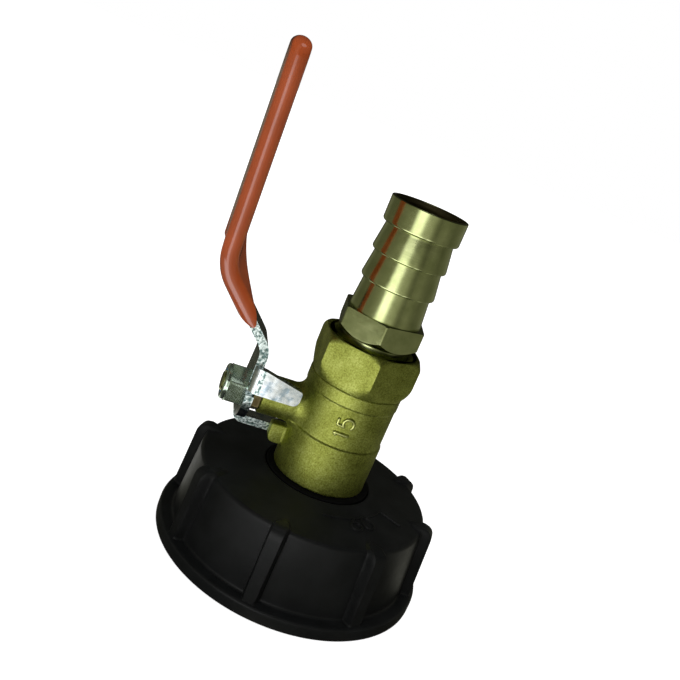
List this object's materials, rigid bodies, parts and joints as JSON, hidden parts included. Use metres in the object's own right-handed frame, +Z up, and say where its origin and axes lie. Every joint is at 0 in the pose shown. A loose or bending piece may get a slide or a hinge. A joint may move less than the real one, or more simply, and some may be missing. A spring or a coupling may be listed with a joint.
{
  "type": "tank tap adapter",
  "caption": "Screw cap for a bulk tank's outlet with a brass lever ball valve and a barbed hose tail in line above it.",
  "frame": {"origin": "pipe axis, in the plane of the cap's open rim", "axes": "+Z up the pipe axis towards the hose tail, -X along the valve's stem"},
  "size_m": [0.0884, 0.08, 0.1358],
  "materials": {
    "cap_plastic": "satin moulded",
    "seal_rubber": "matt",
    "forged_brass": "sand-blasted",
    "turned_brass": "turned, bright",
    "seat_plastic": "smooth",
    "ball_chrome": "polished",
    "zinc_steel": "zinc plated",
    "vinyl": "dipped, glossy",
    "nylon": "plain"
  },
  "bodies": {
    "valve": {"cap": "cap_plastic", "tank_gasket": "seal_rubber", "inlet_connector": "turned_brass", "connector_washer": "seat_plastic", "sealing_ring": "seal_rubber", "valve_body": "forged_brass", "hex_end": "forged_brass", "inlet_seat": "seat_plastic", "outlet_seat": "seat_plastic", "thrust_washer": "seat_plastic", "packing_ring_inner": "seat_plastic", "packing_ring_outer": "seal_rubber", "gland_nut": "turned_brass", "hose_tail": "turned_brass"},
    "handle": {"lever": "zinc_steel", "grip": "vinyl", "lever_nut": "zinc_steel", "nut_insert": "nylon", "stem": "turned_brass", "ball": "ball_chrome"}
  },
  "joints": [
    {"name": "lever_turn", "type": "hinge", "parent": "valve", "child": "handle", "pos_m": [0, 0, 0.045], "axis": [1, 0, 0], "range_deg": [0, 90]}
  ]
}
